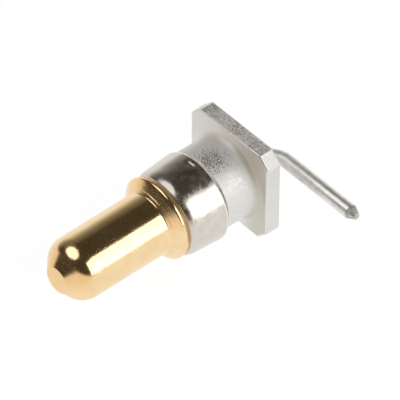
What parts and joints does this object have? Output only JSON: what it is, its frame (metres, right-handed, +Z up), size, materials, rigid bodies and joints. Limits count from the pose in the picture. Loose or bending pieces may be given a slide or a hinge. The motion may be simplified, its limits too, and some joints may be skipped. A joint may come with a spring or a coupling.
{
  "type": "backplane connector contact",
  "caption": "Right-angle power contact: gold-plated pin with collar, nickel retaining ring, neck with square flange and a bent round solder tail, lying on its flange edge and nose.",
  "frame": {"origin": "where the contact axis meets the flange's front face", "axes": "+Z up as the part lies on a level surface, +X along the solder tail, -Y towards the nose, with the contact axis 6.46 degrees nose down in the YZ plane"},
  "size_m": [0.0114, 0.0178, 0.0071],
  "materials": {
    "gold_plate": "polished gold plate on brass",
    "nickel_plate": "bright nickel plate",
    "silver_plate": "matte silver plate on brass",
    "tinned_wire": "satin tinned wire"
  },
  "bodies": {
    "root": {"contact_pin": "gold_plate", "retaining_ring": "nickel_plate", "flange_body": "silver_plate", "solder_tail": "tinned_wire"}
  },
  "joints": []
}
